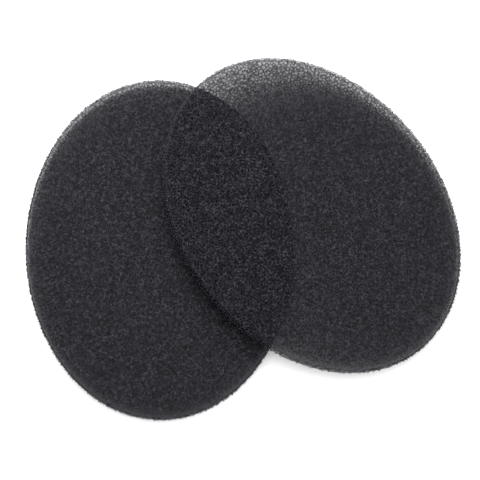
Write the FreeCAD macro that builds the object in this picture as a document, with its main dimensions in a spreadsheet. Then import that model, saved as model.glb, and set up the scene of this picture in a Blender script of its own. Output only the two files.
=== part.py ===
import FreeCAD, Part

import math
import os

import Sketcher

# A pair of oval foam discs, the liners that lie inside the ear cushions of an over-ear headset.
# Both are die-cut from one sheet of open-cell foam, so one set of sizes makes them both.
# The lower disc lies flat on the table. The upper one lies across it and leans down to the table.
# Millimetres, +Z up. The origin is on the table, under the middle of the pair.

OUTPUT_FOLDER = "parts"

# Driving dimensions: name of the cell, value in millimetres or degrees, what it is.
DIMENSIONS = [
    ("pad_length", 95.0, "long axis of each oval"),
    ("pad_width", 73.2, "short axis of each oval"),
    ("pad_thickness", 5.0, "thickness of the foam sheet"),
    ("edge_radius", 0.8, "soft edge round both faces"),
    ("lower_turn", 91.4, "turn of the lower oval's long axis from +X"),
    ("upper_turn", -53.0, "turn of the upper oval's long axis from +X"),
    ("upper_offset_x", 41.6, "upper oval's middle from the lower one's, along X"),
    ("upper_offset_y", 8.7, "upper oval's middle from the lower one's, along Y"),
    ("upper_tilt", 6.4, "lean of the upper oval"),
    ("upper_downhill", 10.0, "direction that it leans down to, from +X"),
    ("table_clearance", 0.12, "gap under the upper oval's lowest point"),
]

PAD_NAMES = ["lower_pad", "upper_pad"]
UP = FreeCAD.Vector(0, 0, 1)
FLAT = 1e-4  # an edge that rises less than this, in millimetres, lies in one level


def make_sheet(document):
    """The spreadsheet of driving dimensions: name, value and meaning in three columns."""
    sheet = document.addObject("Spreadsheet::Sheet", "Dimensions")
    for row, (alias, value, meaning) in enumerate(DIMENSIONS, start=1):
        sheet.set(f"A{row}", alias)
        sheet.set(f"B{row}", str(value))
        sheet.set(f"C{row}", meaning)
        sheet.setAlias(f"B{row}", alias)
    document.recompute()
    return sheet


def origin_plane(body, role):
    """One of the body's own origin planes, found by its role."""
    return next(plane for plane in body.Origin.OriginFeatures if plane.Role == role)


def sketch_oval(body, sheet):
    """A full ellipse about the body's origin, its long axis along X, with both axes from the sheet."""
    sketch = body.newObject("Sketcher::SketchObject", body.Name + "_outline")
    sketch.AttachmentSupport = [(origin_plane(body, "XY_Plane"), "")]
    sketch.MapMode = "FlatFace"
    half_length = sheet.pad_length / 2
    half_width = sheet.pad_width / 2
    middle = FreeCAD.Vector(0, 0, 0)
    long_end = FreeCAD.Vector(half_length, 0, 0)
    short_end = FreeCAD.Vector(0, half_width, 0)
    oval = sketch.addGeometry(Part.Ellipse(long_end, short_end, middle), False)
    sketch.exposeInternalGeometry(oval)
    long_axis = oval + 1
    short_axis = oval + 2
    centre_point = 3
    sketch_origin = (-1, 1)
    sketch.addConstraint(Sketcher.Constraint("Coincident", oval, centre_point, *sketch_origin))
    sketch.addConstraint(Sketcher.Constraint("Horizontal", long_axis))
    length = sketch.addConstraint(Sketcher.Constraint("Distance", long_axis, 2 * half_length))
    width = sketch.addConstraint(Sketcher.Constraint("Distance", short_axis, 2 * half_width))
    sketch.renameConstraint(length, "long_axis")
    sketch.renameConstraint(width, "short_axis")
    sketch.setExpression("Constraints.long_axis", "Dimensions.pad_length")
    sketch.setExpression("Constraints.short_axis", "Dimensions.pad_width")
    return sketch


def make_pad(document, sheet, name):
    """One foam disc: the oval sketch, padded to the sheet's thickness, with both rims softened."""
    body = document.addObject("PartDesign::Body", name)
    body.Label = name
    outline = sketch_oval(body, sheet)
    disc = body.newObject("PartDesign::Pad", name + "_disc")
    disc.Profile = outline
    disc.setExpression("Length", "Dimensions.pad_thickness")
    document.recompute()
    rims = [
        f"Edge{number}"
        for number, edge in enumerate(disc.Shape.Edges, start=1)
        if edge.BoundBox.ZLength < FLAT
    ]
    soft_rims = body.newObject("PartDesign::Fillet", name + "_soft_rims")
    soft_rims.Base = (disc, rims)
    soft_rims.setExpression("Radius", "Dimensions.edge_radius")
    body.Tip = soft_rims
    document.recompute()
    return body


def place_lower(pad, sheet):
    """The lower disc lies flat on the table, turned about its own middle."""
    pad.Placement = FreeCAD.Placement(FreeCAD.Vector(), FreeCAD.Rotation(UP, sheet.lower_turn))


def place_upper(pad, sheet):
    """The upper disc is turned, then leans so that its downhill edge meets the table."""
    downhill = math.radians(sheet.upper_downhill)
    tilt = math.radians(sheet.upper_tilt)
    tilt_axis = FreeCAD.Vector(-math.sin(downhill), math.cos(downhill), 0)
    lean = FreeCAD.Rotation(tilt_axis, sheet.upper_tilt)
    turn = FreeCAD.Rotation(UP, sheet.upper_turn)
    # How far the oval reaches from its middle, downhill, and so how high its middle is.
    across = math.radians(sheet.upper_turn) - downhill
    reach = math.hypot(
        sheet.pad_length / 2 * math.cos(across),
        sheet.pad_width / 2 * math.sin(across),
    )
    # A rounded rim's lowest point is a little above the sharp corner that it replaces.
    rim_lift = sheet.edge_radius * (math.sin(tilt) + math.cos(tilt) - 1)
    height = reach * math.sin(tilt) - rim_lift + sheet.table_clearance
    middle = FreeCAD.Vector(sheet.upper_offset_x, sheet.upper_offset_y, height)
    pad.Placement = FreeCAD.Placement(middle, lean * turn)


def centre_pair(pads):
    """Moves both discs so that the origin is under the middle of the box that holds them."""
    box = FreeCAD.BoundBox()
    for pad in pads:
        box.add(pad.Shape.optimalBoundingBox(False, False))
    shift = FreeCAD.Vector(-box.Center.x, -box.Center.y, 0)
    for pad in pads:
        placement = pad.Placement
        placement.move(shift)
        pad.Placement = placement


def check_document(document, pads):
    """Stops if any feature failed, or if a disc is empty or not valid."""
    failed = [
        item.Name
        for item in document.Objects
        if "Invalid" in item.State or "Error" in item.State
    ]
    if failed:
        raise RuntimeError(f"these features failed: {failed}")
    for pad in pads:
        if pad.Shape.isNull() or not pad.Shape.isValid():
            raise RuntimeError(f"{pad.Label} has no valid shape")


def report(pads):
    """Prints each disc's volume and box, and how near the two come to each other."""
    for pad in pads:
        box = pad.Shape.optimalBoundingBox(False, False)
        print(f"{pad.Label}: volume {pad.Shape.Volume:.0f} mm3")
        print(f"  x {box.XMin:.2f} {box.XMax:.2f}, y {box.YMin:.2f} {box.YMax:.2f}")
        print(f"  z {box.ZMin:.3f} {box.ZMax:.3f}")
    lower, upper = pads
    print(f"gap between the discs: {lower.Shape.distToShape(upper.Shape)[0]:.3f} mm")


document = FreeCAD.newDocument("ear_pad_inserts")
dimensions = make_sheet(document)
pads = [make_pad(document, dimensions, name) for name in PAD_NAMES]
place_lower(pads[0], dimensions)
place_upper(pads[1], dimensions)
document.recompute()
centre_pair(pads)
document.recompute()
check_document(document, pads)
report(pads)

os.makedirs(OUTPUT_FOLDER, exist_ok=True)
for pad in pads:
    pad.Shape.exportStep(os.path.join(OUTPUT_FOLDER, pad.Label + ".step"))
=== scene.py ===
import math

import bpy
import numpy as np
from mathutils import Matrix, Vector
from mathutils.geometry import delaunay_2d_cdt


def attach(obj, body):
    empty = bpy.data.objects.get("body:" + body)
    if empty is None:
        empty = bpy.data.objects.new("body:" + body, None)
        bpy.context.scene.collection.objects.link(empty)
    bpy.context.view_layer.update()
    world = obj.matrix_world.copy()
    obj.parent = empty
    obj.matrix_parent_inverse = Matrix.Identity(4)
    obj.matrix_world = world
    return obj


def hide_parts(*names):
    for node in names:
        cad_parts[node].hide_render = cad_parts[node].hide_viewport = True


# A pair of oval discs of charcoal open-cell foam, one flat on the table and one leaning on it.
# Each disc is one closed mesh, the net of its pores: every pore is a pit between raised struts.

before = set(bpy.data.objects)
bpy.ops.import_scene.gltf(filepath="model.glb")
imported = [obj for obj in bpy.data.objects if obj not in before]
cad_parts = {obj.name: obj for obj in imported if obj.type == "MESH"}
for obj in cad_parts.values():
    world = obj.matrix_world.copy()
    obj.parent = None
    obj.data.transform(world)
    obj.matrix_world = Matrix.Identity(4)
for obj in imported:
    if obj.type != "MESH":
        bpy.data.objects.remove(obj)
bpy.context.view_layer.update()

MM = 0.001
FLAT_PAD = "lower_pad"
LEANING_PAD = "upper_pad"
SEEDS = {FLAT_PAD: 11, LEANING_PAD: 12}

# Net of pores, in metres.
FACE_CELL = 0.92 * MM  # distance between neighbouring pores on the upper face
UNDER_CELL = 1.1 * FACE_CELL  # and on the lower face
SIDE_CELL = 0.46 * MM  # and round the cut side, where the cells are opened at all angles
JITTER = 0.55  # of a cell, how far a pore strays from its regular place
ROW_STEP = 0.866  # of a cell, between two rows of a triangular lattice
BORDER_GAP = 0.3  # of a cell, that the face and the side keep clear of their common border
RING_GAP = 0.6  # of a cell, that free pores keep clear of a fixed ring of them
LEVEL = 0.9  # upright part of a normal, above which a spot belongs to a face and not to the side

# Relief, in metres.
RIM_RADIUS = 0.7 * MM  # soft rim round each face
WAIST = 0.12 * MM  # how far the die-cut side draws in at mid height
FUZZ_REACH = 0.28 * MM  # how far the cut side stands proud of the nominal oval
PIT_DEPTH = 0.45 * MM
PIT_VARIETY = (0.15, 1.4)  # least and most of that depth
SIDE_PIT = 0.35  # share of that depth on the side
STRUT_ROUGHNESS = 0.06 * MM
SPIKE_LENGTH = 0.5 * MM  # longest cut strut that sticks out
SIDE_SPIKES = 0.35  # share of the strut junctions on the side that have one
FACE_SPIKES = 0.1
SIDE_SPIKE_MEAN = 0.5 * SPIKE_LENGTH
FACE_SPIKE_MEAN = 0.2 * SPIKE_LENGTH

# How the leaning pad bends under its own weight, in metres.
OVERHANG_DROOP = 0.8 * MM  # past the edge that it leans on
SPAN_SAG = 0.3 * MM  # between that edge and the table

# Where a pad looks different from its upper face, in metres.
RIM_DEPTH = 1.6 * MM  # how far in from the outline the foam looks thinner
FRAY_DEPTH = 0.6 * MM  # width of the thin, frayed line along each edge
EDGE_LIGHT_WIDTH = 0.3 * MM  # width of the painted light line along each edge
WALL_FIRMNESS = 0.3  # how much less frayed the cut side is than its two edges
UNDER_LAYER = 1.5 * PIT_DEPTH  # height above the flat underside that counts as the lower face
CENTRAL = 0.2  # share of an oval's size, round its centre, that is simply deep inside

# Openness: the share of the light that passes straight through a spot.
STRUT_OPENNESS = 0.09
PORE_OPENNESS = 0.58
STRUT_LIMIT = 0.07  # a pattern value below this is strut
PORE_LIMIT = 0.55  # and above this, open pore
UNDER_OPENNESS = 0.6  # of the lower face, pores and struts alike
FRAY_OPENNESS = 0.47  # share of what is closed that opens along a frayed edge
RIM_THINNING = 0.08  # added to the pattern at the outline
PORE_SIZES = (0.35, 1.05)  # least and most pattern value in the middle of a pore
RAGGEDNESS = 1.4  # of the pattern
RAGGED_SCALE = 1400  # bumps per metre, for the ragged edges of the pores

# Colour. The lit share is painted light: it goes from 0, the struts' own dark colour, to 1, the light
# colour of a painted glint.
STRUT_DARK = (0.0056, 0.0053, 0.0070, 1)
# Colour of a painted glint on the struts, where the lit share is 1.
STRUT_PAINTED_GLINT = (0.0358, 0.0340, 0.0440, 1)
SEEPING_LIGHT = (0.062, 0.060, 0.067, 1)  # light that seeps through a strut
SEEPING_SHARE = 0.3
PORE_GLEAM = (0.15, 0.6)  # least and most painted glint at the bottom of a pore
STRUT_GLEAM_POWER = 1.4  # above 1, more strut junctions are dark than lit by a painted glint
EDGE_LIGHT_GLEAM = 0.5  # painted light added along the edges
OPEN_GLEAM = 0.03  # painted light added in open pores
RIDGE_SCALE = 1100  # bumps per metre, for the fine curled strokes of painted glint
RIDGE_HEIGHT = 1.5  # at the crest of a ridge
RIDGE_STEEPNESS = 13  # how fast it falls away from the crest
ABSORPTION = 208  # of light inside a pad, per metre

# Camera and floor, in metres. The origin is on the table, under the middle of the pair.
CAMERA_ELEVATION = math.radians(77)
CAMERA_DISTANCE = 1.2
SENSOR_WIDTH = 36  # millimetres
VIEW_WIDTH = 0.13296  # what the picture takes in, at the distance of the pads
AIM = Vector((-0.88 * MM, 0.5 * MM, 0))
FLOOR_DROP = 0.25 * MM  # so that the floor and the flat underside don't share a plane
FLOOR_HALF_SIZE = 3.0

# Name, place, size and watts of each soft light. Each one faces the origin.
LIGHTS = [
    ("key", (-0.05, 0.27, 0.33), (0.27, 0.2), 2.8),
    ("rake", (-0.12, 0.20, 0.12), (0.2, 0.08), 0.5),
    ("overhead", (0.08, 0.0, 0.8), (0.8, 0.8), 6.4),
]
WORLD_STRENGTH = 1.0

# Steps along an ellipse: to measure it, and to find the place where the pads meet.
FINE_STEPS = 20000
OUTLINE_STEPS = 720


def oval_frame(node):
    """Centre, axes and half sizes of the oval disc that a CAD node is.

    The rows of axes are the long axis, the short axis and the face's normal."""
    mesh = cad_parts[node].data
    mesh.calc_loop_triangles()
    points = np.array([v.co for v in mesh.vertices], float)
    corners = points[np.array([t.vertices for t in mesh.loop_triangles])]
    volumes = np.linalg.det(corners) / 6
    sums = corners.sum(1)
    centre = (volumes[:, None] * sums).sum(0) / 4 / volumes.sum()
    # Second moments of the tetrahedra between the origin and each triangle, moved to the centre.
    products = np.einsum("ni,nj->nij", sums, sums) + np.einsum("nki,nkj->nij", corners, corners)
    about_origin = np.einsum("n,nij->ij", volumes, products) / 20
    moments = about_origin - volumes.sum() * np.outer(centre, centre)
    by_size = np.linalg.eigh(moments)[1][:, ::-1].T
    long_axis = by_size[0] * np.sign(by_size[0][1])
    normal = by_size[2] * np.sign(by_size[2][2])
    axes = np.array([long_axis, np.cross(normal, long_axis), normal])
    local = (points - centre) @ axes.T
    return centre, axes, (local.max(0) - local.min(0)) / 2


def oval_ring(half, count):
    """Points evenly spaced along an ellipse."""
    fine = np.linspace(0, 2 * math.pi, FINE_STEPS + 1)
    ring = np.stack([half[0] * np.cos(fine), half[1] * np.sin(fine)], 1)
    along = np.concatenate([[0], np.hypot(*np.diff(ring, axis=0).T).cumsum()])
    angle = np.interp(np.arange(count) / count * along[-1], along, fine)
    return np.stack([half[0] * np.cos(angle), half[1] * np.sin(angle)], 1)


def nearest_on_oval(points, half):
    """For each point, the nearest point of an ellipse, its outward normal, and how far outside it is."""
    a, b = half
    x, y = points.T
    t = np.arctan2(y * a, x * b)
    # Newton's method, which settles within 8 rounds.
    for _ in range(8):
        slope = (a * a - b * b) * np.sin(t) * np.cos(t) - a * x * np.sin(t) + b * y * np.cos(t)
        bend = (a * a - b * b) * np.cos(2 * t) - a * x * np.cos(t) - b * y * np.sin(t)
        t = t - slope / bend
    foot = np.stack([a * np.cos(t), b * np.sin(t)], 1)
    normal = np.stack([b * np.cos(t), a * np.sin(t)], 1)
    normal /= np.hypot(*normal.T)[:, None]
    return foot, normal, ((points - foot) * normal).sum(1)


def inside(points, half):
    """Which points lie inside an ellipse."""
    return ((points / half) ** 2).sum(1) < 1


def triangulate(points):
    """Delaunay triangles over a convex set of points, which keep the numbers that they have."""
    result = delaunay_2d_cdt([Vector(p / MM) for p in points], [], [], 0, 1e-6, True)
    back = [ids[0] for ids in result[3]]
    return np.array([[back[v] for v in face] for face in result[2]])


def lattice(half, cell, rng):
    """A jittered triangular lattice of points that covers an ellipse."""
    rows = int(half[1] / cell / ROW_STEP) + 2
    columns = int(half[0] / cell) + 2
    j, i = np.mgrid[-rows:rows + 1, -columns:columns + 1]
    points = np.stack([(i + 0.5 * (j % 2)) * cell, j * cell * ROW_STEP], -1).reshape(-1, 2)
    return points + rng.uniform(-JITTER, JITTER, points.shape) * cell


def spread(points, fixed):
    """Evens out points and triangulates them. The last ones, as many as fixed says, stay where they are.

    In each of two rounds, a free point goes half way to the middle of its neighbours."""
    free = len(points) - fixed
    for _ in range(2):
        triangles = triangulate(points)
        total = np.zeros_like(points)
        number = np.zeros(len(points))
        for k in range(3):
            for other in (1, 2):
                np.add.at(total, triangles[:, k], points[triangles[:, (k + other) % 3]])
                np.add.at(number, triangles[:, k], 1)
        mean = total / number[:, None]
        points[:free] += 0.5 * (mean - points)[:free]
    return points, triangulate(points)


def fold_over_rim(flat, face_half, thick, arc, girth):
    """Lays a flat sheet over the disc, which is thick above and below its middle.

    Inside face_half it is the upper face, and beyond that the rim, the side and the lower rim."""
    foot, normal, out = nearest_on_oval(flat, face_half)
    turn = np.clip(np.minimum(out, girth - out) / RIM_RADIUS, 0, math.pi / 2)
    level = thick - RIM_RADIUS
    upper = level + RIM_RADIUS * np.cos(turn)
    side = level - (out - arc)
    height = np.where(out < arc, upper, np.where(out > girth - arc, -upper, side))
    waist = WAIST * np.cos(height / thick * math.pi / 2) * np.sin(turn)
    reach = RIM_RADIUS * np.sin(turn) - waist
    place = np.c_[foot + normal * reach[:, None], height]
    place[out <= 0] = np.c_[flat, np.full(len(flat), thick)][out <= 0]
    return place


def foam_surface(half, rng):
    """Triangulated closed surface of an oval disc with soft rims. Each vertex will be a pore."""
    thick = half[2]
    face_half = half[:2] + FUZZ_REACH - RIM_RADIUS
    arc = math.pi / 2 * RIM_RADIUS
    girth = 2 * arc + 2 * (thick - RIM_RADIUS)
    wide = face_half + girth
    length = np.hypot(*np.diff(oval_ring(face_half, FINE_STEPS), axis=0).T).sum()
    # The upper face, rim and side are one sheet, which ends in a ring round the lower face.
    ring = oval_ring(face_half, round(length / SIDE_CELL))
    foot, normal, _ = nearest_on_oval(ring, face_half)
    face = lattice(face_half, FACE_CELL, rng)
    face = face[inside(face, face_half - BORDER_GAP * FACE_CELL)]
    side = lattice(wide, SIDE_CELL, rng)
    on_face = inside(side, face_half + BORDER_GAP * FACE_CELL)
    side = side[inside(side, wide - RING_GAP * SIDE_CELL) & ~on_face]
    flat, sheet = spread(np.concatenate([face, side, foot + normal * girth]), len(ring))
    place = fold_over_rim(flat, face_half, thick, arc, girth)
    place[-len(ring):] = np.c_[ring, np.full(len(ring), -thick)]
    # The lower face fills the same ring.
    under = lattice(face_half, UNDER_CELL, rng)
    under = under[inside(under, face_half - RING_GAP * FACE_CELL)]
    free = len(under)
    under, low = spread(np.concatenate([under, ring]), len(ring))
    number = np.concatenate([len(flat) + np.arange(free), np.arange(len(flat) - len(ring), len(flat))])
    place = np.concatenate([place, np.c_[under[:free], np.full(free, -thick)]])
    return place, np.concatenate([sheet, number[low][:, ::-1]])


def pore_net(seeds, triangles, half, rng):
    """Turns a triangulated surface into its net of pores, as points and triangles.

    Each vertex becomes a pit and each triangle a strut junction. The pits come first."""
    corners = seeds[triangles]
    normals = np.cross(corners[:, 1] - corners[:, 0], corners[:, 2] - corners[:, 0])
    normals /= np.linalg.norm(normals, axis=1)[:, None]
    seed_normals = np.zeros_like(seeds)
    for k in range(3):
        np.add.at(seed_normals, triangles[:, k], normals)
    seed_normals /= np.linalg.norm(seed_normals, axis=1)[:, None]
    share = np.where(np.abs(seed_normals[:, 2]) < LEVEL, SIDE_PIT, 1)
    depth = PIT_DEPTH * share * rng.uniform(*PIT_VARIETY, len(seeds))
    pits = seeds - seed_normals * depth[:, None]
    rise = rng.normal(0, STRUT_ROUGHNESS, len(triangles))
    on_side = np.abs(normals[:, 2]) < LEVEL
    spikes = rng.random(len(triangles)) < np.where(on_side, SIDE_SPIKES, FACE_SPIKES)
    lengths = rng.exponential(np.where(on_side, SIDE_SPIKE_MEAN, FACE_SPIKE_MEAN))
    rise += spikes * lengths.clip(0, SPIKE_LENGTH)
    junctions = corners.mean(1) + normals * rise[:, None]
    # Under the disc nothing stands proud of its flat face.
    junctions[:, 2] = junctions[:, 2].clip(-half[2], None)
    # An edge joins two triangles: the strut between their junctions has a pit on each side of it.
    edges = np.concatenate([triangles[:, [0, 1]], triangles[:, [1, 2]], triangles[:, [2, 0]]])
    owner = np.tile(np.arange(len(triangles)), 3)
    key = edges.min(1) * len(seeds) + edges.max(1)
    pairs = np.argsort(key, kind="stable").reshape(-1, 2)
    forward = edges[pairs[:, 0], 0] < edges[pairs[:, 0], 1]
    left = np.where(forward, owner[pairs[:, 0]], owner[pairs[:, 1]]) + len(seeds)
    right = np.where(forward, owner[pairs[:, 1]], owner[pairs[:, 0]]) + len(seeds)
    low = edges[pairs[:, 0]].min(1)
    high = edges[pairs[:, 0]].max(1)
    faces = np.concatenate([np.stack([low, right, left], 1), np.stack([high, left, right], 1)])
    return np.concatenate([pits, junctions]), faces


def oval_outline(node, face):
    """The outline of the upper (1) or lower (-1) face of a CAD disc."""
    centre, axes, half = oval_frame(node)
    ring = oval_ring(half[:2], OUTLINE_STEPS)
    return np.c_[ring, np.full(len(ring), face * half[2])] @ axes + centre


def sag(points):
    """How far each point of the leaning pad hangs below where its flat CAD disc has it."""
    centre, axes, half = oval_frame(LEANING_PAD)
    uphill = -axes[2][:2] / np.hypot(*axes[2][:2])
    underside = oval_outline(LEANING_PAD, -1)[:, :2] @ uphill
    edge = oval_outline(FLAT_PAD, 1)
    # The pad leans on the point of the flat pad's upper edge that is nearest to its underside.
    local = (edge - centre) @ axes.T
    gap = np.where(inside(local[:, :2], half[:2]), -half[2] - local[:, 2], np.inf)
    support = edge[gap.argmin()][:2] @ uphill
    along = points[:, :2] @ uphill - support
    overhang = (along / (underside.max() - support)).clip(0, None)
    span = (along / (underside.min() - support)).clip(0, 1)
    return OVERHANG_DROOP * overhang ** 2 + SPAN_SAG * (4 * span * (1 - span)) ** 2


def foam_values(points, half, pits, rng):
    """What the material reads at each point of a pad, by name. The first points are the pits."""
    junctions = len(points) - pits
    _, _, out = nearest_on_oval(points[:, :2], half[:2])
    central = inside(points[:, :2], CENTRAL * half[:2])
    depth = np.where(central, half[1], -out).clip(0, None)
    on_wall = ((half[2] - np.abs(points[:, 2])) / RIM_RADIUS).clip(0, 1)
    return {
        "pore": np.r_[rng.uniform(*PORE_SIZES, pits), np.zeros(junctions)],
        # Random painted glint of each pit and strut junction.
        "gleam": np.r_[rng.uniform(*PORE_GLEAM, pits), rng.random(junctions) ** STRUT_GLEAM_POWER],
        "rim": np.exp(-depth / RIM_DEPTH),
        "under": (points[:, 2] < -half[2] + UNDER_LAYER).astype(float),
        # Painted light line along each edge, strongest at the outline.
        "fray": np.exp(-depth / FRAY_DEPTH) * (1 - WALL_FIRMNESS * on_wall),
        "edge_light": np.exp(-depth / EDGE_LIGHT_WIDTH),
    }


def make_mesh(name, points, faces, values):
    """A mesh of triangles, with a value of each name at each point."""
    mesh = bpy.data.meshes.new(name)
    mesh.vertices.add(len(points))
    mesh.vertices.foreach_set("co", points.astype(np.float32).ravel())
    mesh.loops.add(3 * len(faces))
    mesh.loops.foreach_set("vertex_index", faces.astype(np.int32).ravel())
    mesh.polygons.add(len(faces))
    mesh.polygons.foreach_set("loop_start", np.arange(0, 3 * len(faces), 3, dtype=np.int32))
    mesh.update(calc_edges=True)
    mesh.validate()
    for label, value in values.items():
        layer = mesh.attributes.new(label, "FLOAT", "POINT")
        layer.data.foreach_set("value", value.astype(np.float32))
    return mesh


def make_pad(node, material):
    """The foam piece that stands for one CAD disc."""
    centre, axes, half = oval_frame(node)
    rng = np.random.default_rng(SEEDS[node])
    seeds, triangles = foam_surface(half, rng)
    points, faces = pore_net(seeds, triangles, half, rng)
    values = foam_values(points, half, len(seeds), rng)
    placed = points @ axes + centre
    if node == LEANING_PAD:
        placed[:, 2] -= sag(placed)
    mesh = make_mesh(node + "_foam", placed, faces, values)
    mesh.materials.append(material)
    piece = bpy.data.objects.new(node + "_foam", mesh)
    bpy.context.scene.collection.objects.link(piece)
    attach(piece, node)
    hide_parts(node)


def math_node(tree, operation, *values):
    """The output of a Math node on sockets or numbers."""
    made = tree.nodes.new("ShaderNodeMath")
    made.operation = operation
    for socket, value in zip(made.inputs, values):
        if isinstance(value, bpy.types.NodeSocket):
            tree.links.new(value, socket)
        else:
            socket.default_value = value
    return made.outputs[0]


def noise(tree, scale, detail):
    """Noise that stays fixed to the piece."""
    coordinates = tree.nodes.new("ShaderNodeTexCoord")
    made = tree.nodes.new("ShaderNodeTexNoise")
    made.inputs["Scale"].default_value = scale
    made.inputs["Detail"].default_value = detail
    tree.links.new(coordinates.outputs["Object"], made.inputs["Vector"])
    return made.outputs["Fac"]


def attribute(tree, name):
    """One of the values that the mesh holds at its points."""
    made = tree.nodes.new("ShaderNodeAttribute")
    made.attribute_name = name
    return made.outputs["Fac"]


def mix_shaders(tree, first, second):
    """A node that mixes two shaders. Its Fac is the share of the second."""
    made = tree.nodes.new("ShaderNodeMixShader")
    tree.links.new(first, made.inputs[1])
    tree.links.new(second, made.inputs[2])
    return made


def pore_pattern(tree):
    """Openness of the bare net: struts nearly closed, pores open, with ragged edges between them."""
    wobble = math_node(tree, "MULTIPLY_ADD", noise(tree, RAGGED_SCALE, 2), RAGGEDNESS, -RAGGEDNESS / 2)
    ragged = math_node(tree, "ADD", attribute(tree, "pore"), wobble)
    thinner = math_node(tree, "MULTIPLY_ADD", attribute(tree, "rim"), RIM_THINNING, ragged)
    made = tree.nodes.new("ShaderNodeMapRange")
    made.interpolation_type = "SMOOTHSTEP"
    made.inputs["From Min"].default_value = STRUT_LIMIT
    made.inputs["From Max"].default_value = PORE_LIMIT
    made.inputs["To Min"].default_value = STRUT_OPENNESS
    made.inputs["To Max"].default_value = PORE_OPENNESS
    tree.links.new(thinner, made.inputs["Value"])
    return made.outputs["Result"]


def whole_openness(tree, pores):
    """The pores' openness, but even on the lower face, and more along the frayed edges."""
    even = tree.nodes.new("ShaderNodeMix")
    even.data_type = "FLOAT"
    even.inputs["B"].default_value = UNDER_OPENNESS
    tree.links.new(attribute(tree, "under"), even.inputs["Factor"])
    tree.links.new(pores, even.inputs["A"])
    openness = even.outputs["Result"]
    closed = math_node(tree, "SUBTRACT", 1, openness)
    frayed = math_node(tree, "MULTIPLY", closed, attribute(tree, "fray"))
    return math_node(tree, "MULTIPLY_ADD", frayed, FRAY_OPENNESS, openness)


def strut_colour(tree, pores):
    """Dark struts with fine curled strokes of painted glint, and a painted light line along the edges."""
    # The lit share is painted light: curled strokes of painted glint, strongest where the gleam is high.
    off_ridge = math_node(tree, "ABSOLUTE", math_node(tree, "SUBTRACT", noise(tree, RIDGE_SCALE, 1), 0.5))
    slope = math_node(tree, "MULTIPLY_ADD", off_ridge, -RIDGE_STEEPNESS, RIDGE_HEIGHT)
    ridge = math_node(tree, "MAXIMUM", slope, 0)
    # Painted light along the edges: it adds to the glints and to the lit share.
    gleam = math_node(tree, "ADD", attribute(tree, "gleam"), attribute(tree, "edge_light"))
    lit = math_node(tree, "MULTIPLY", gleam, ridge)
    lit = math_node(tree, "MULTIPLY_ADD", attribute(tree, "edge_light"), EDGE_LIGHT_GLEAM, lit)
    lit = math_node(tree, "MULTIPLY_ADD", pores, OPEN_GLEAM, lit)
    made = tree.nodes.new("ShaderNodeMix")
    made.data_type = "RGBA"
    made.inputs["A"].default_value = STRUT_DARK
    made.inputs["B"].default_value = STRUT_PAINTED_GLINT
    tree.links.new(lit, made.inputs["Factor"])
    return made.outputs["Result"]


def foam_material():
    """Charcoal open-cell foam: matt struts with painted glints and painted light along the edges, pores
    that light passes through, and a dark inside.
    """
    material = bpy.data.materials.new("charcoal_foam")
    material.use_nodes = True
    tree = material.node_tree
    tree.nodes.clear()
    pores = pore_pattern(tree)
    skin = tree.nodes.new("ShaderNodeBsdfPrincipled")
    skin.inputs["Roughness"].default_value = 0.6
    skin.inputs["Specular IOR Level"].default_value = 0.04
    tree.links.new(strut_colour(tree, pores), skin.inputs["Base Color"])
    seeping = tree.nodes.new("ShaderNodeBsdfTranslucent")
    seeping.inputs["Color"].default_value = SEEPING_LIGHT
    strut = mix_shaders(tree, skin.outputs["BSDF"], seeping.outputs["BSDF"])
    strut.inputs["Fac"].default_value = SEEPING_SHARE
    clear = tree.nodes.new("ShaderNodeBsdfTransparent")
    surface = mix_shaders(tree, strut.outputs["Shader"], clear.outputs["BSDF"])
    tree.links.new(whole_openness(tree, pores), surface.inputs["Fac"])
    dark_inside = tree.nodes.new("ShaderNodeVolumeAbsorption")
    dark_inside.inputs["Color"].default_value = (0, 0, 0, 1)
    dark_inside.inputs["Density"].default_value = ABSORPTION
    out = tree.nodes.new("ShaderNodeOutputMaterial")
    tree.links.new(surface.outputs["Shader"], out.inputs["Surface"])
    tree.links.new(dark_inside.outputs["Volume"], out.inputs["Volume"])
    return material


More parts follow.
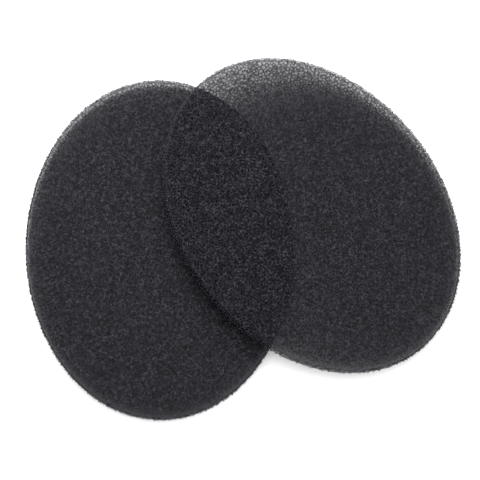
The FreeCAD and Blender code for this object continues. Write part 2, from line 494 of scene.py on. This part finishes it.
def make_floor():
    """A plain matt white floor."""
    mesh = bpy.data.meshes.new("floor")
    far = FLOOR_HALF_SIZE
    corners = [(x, y, -FLOOR_DROP) for x, y in ((-far, -far), (far, -far), (far, far), (-far, far))]
    mesh.from_pydata(corners, [], [(0, 1, 2, 3)])
    floor = bpy.data.objects.new("floor", mesh)
    bpy.context.scene.collection.objects.link(floor)
    material = bpy.data.materials.new("white_paper")
    material.use_nodes = True
    shader = material.node_tree.nodes["Principled BSDF"]
    shader.inputs["Base Color"].default_value = (0.9, 0.9, 0.9, 1)
    shader.inputs["Roughness"].default_value = 0.9
    shader.inputs["Specular IOR Level"].default_value = 0.1
    mesh.materials.append(material)


def make_light(name, place, size, watts):
    """A soft rectangular light that faces the origin."""
    data = bpy.data.lights.new(name, "AREA")
    data.shape = "RECTANGLE"
    data.size, data.size_y = size
    data.energy = watts
    light = bpy.data.objects.new(name, data)
    light.location = place
    light.rotation_mode = "QUATERNION"
    light.rotation_quaternion = (-Vector(place)).to_track_quat("-Z", "Y")
    bpy.context.scene.collection.objects.link(light)


def make_world():
    """An even white surround."""
    world = bpy.data.worlds.new("studio")
    world.use_nodes = True
    background = world.node_tree.nodes["Background"]
    background.inputs["Color"].default_value = (1, 1, 1, 1)
    background.inputs["Strength"].default_value = WORLD_STRENGTH
    bpy.context.scene.world = world


def make_camera():
    """A camera high in front of the pads, which looks down at them."""
    data = bpy.data.cameras.new("camera")
    data.sensor_width = SENSOR_WIDTH
    data.lens = SENSOR_WIDTH * CAMERA_DISTANCE / VIEW_WIDTH
    data.clip_start = 0.01
    camera = bpy.data.objects.new("camera", data)
    back = Vector((0, -math.cos(CAMERA_ELEVATION), math.sin(CAMERA_ELEVATION)))
    camera.location = AIM + back * CAMERA_DISTANCE
    camera.rotation_mode = "QUATERNION"
    camera.rotation_quaternion = (-back).to_track_quat("-Z", "Y")
    bpy.context.scene.collection.objects.link(camera)
    bpy.context.scene.camera = camera


make_camera()
make_world()
for light in LIGHTS:
    make_light(*light)
make_floor()
foam = foam_material()
for pad in SEEDS:
    make_pad(pad, foam)
bpy.context.scene.view_settings.view_transform = "Standard"
